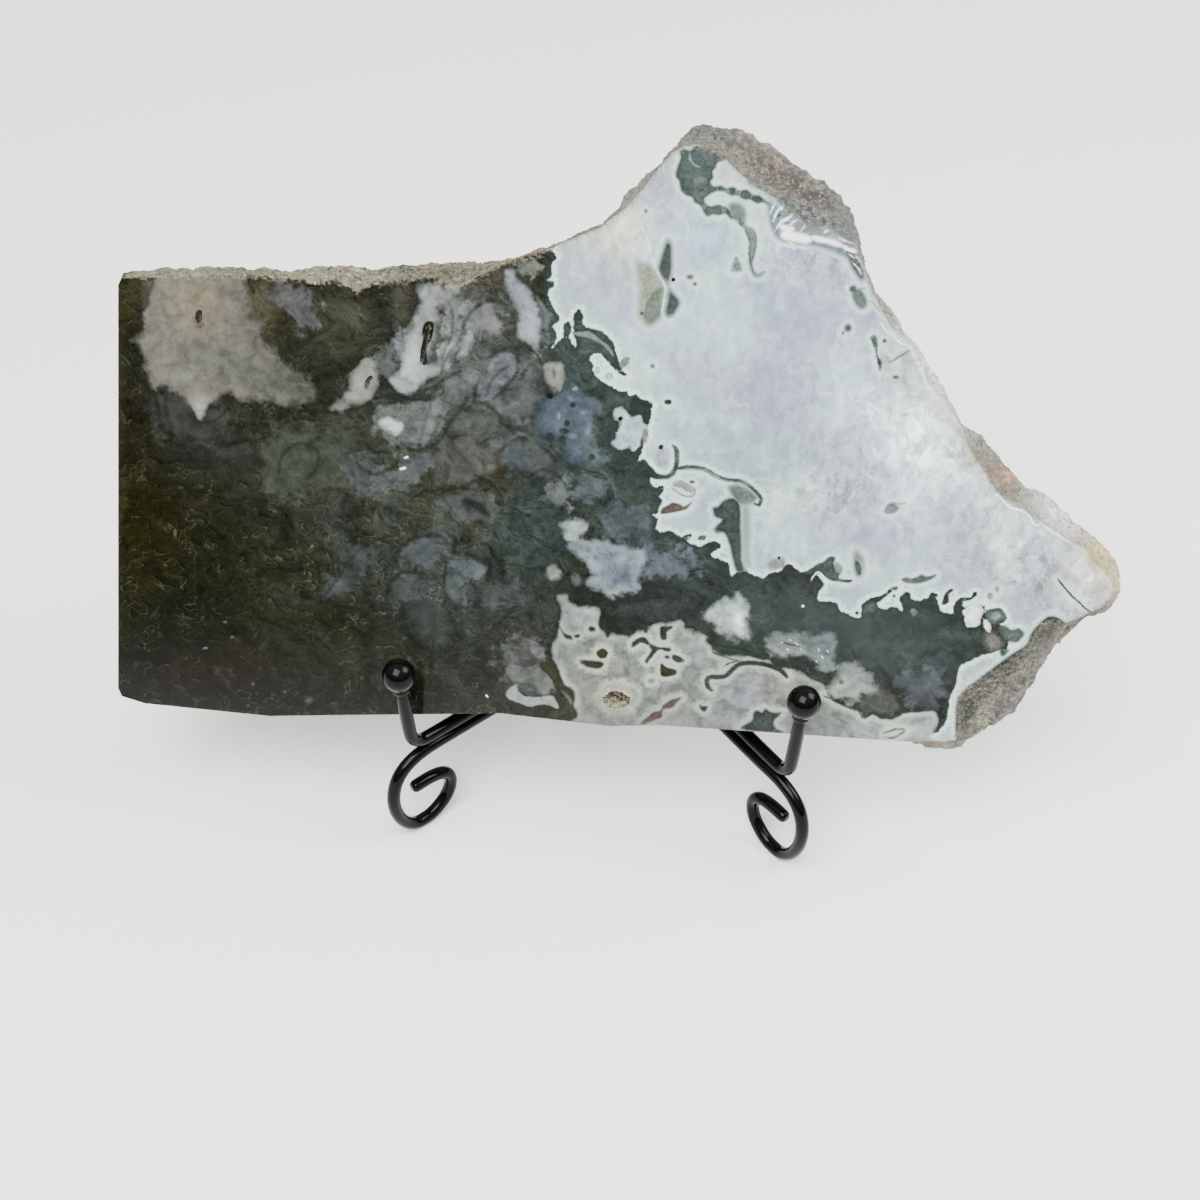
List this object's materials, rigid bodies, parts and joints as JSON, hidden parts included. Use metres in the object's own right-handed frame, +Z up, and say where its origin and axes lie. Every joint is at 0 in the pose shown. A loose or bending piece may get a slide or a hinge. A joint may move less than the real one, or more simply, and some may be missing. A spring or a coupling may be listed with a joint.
{
  "type": "agate slab on a wire easel",
  "caption": "Polished slab of moss agate with a rough rind, leaning on a black wire display easel with ball-tipped hooks and scroll feet.",
  "frame": {"origin": "on the table, under the middle of the whole object's bounding box", "axes": "+Z up, +X along the slab's long side towards its pointed end, -Y the way that the polished face looks"},
  "size_m": [0.241, 0.1064, 0.1678],
  "materials": {
    "moss_agate": "polished face, rough broken rind",
    "brown_quartz": "small glassy crystals",
    "black_enamel": "gloss"
  },
  "bodies": {
    "root": {"agate_slab": "moss_agate", "druse_crystals": "brown_quartz", "hook_wire_left": "black_enamel", "hook_wire_right": "black_enamel", "foot_wire_left": "black_enamel", "foot_wire_right": "black_enamel", "ball_tip_left": "black_enamel", "ball_tip_right": "black_enamel", "cross_bar": "black_enamel"}
  },
  "joints": []
}
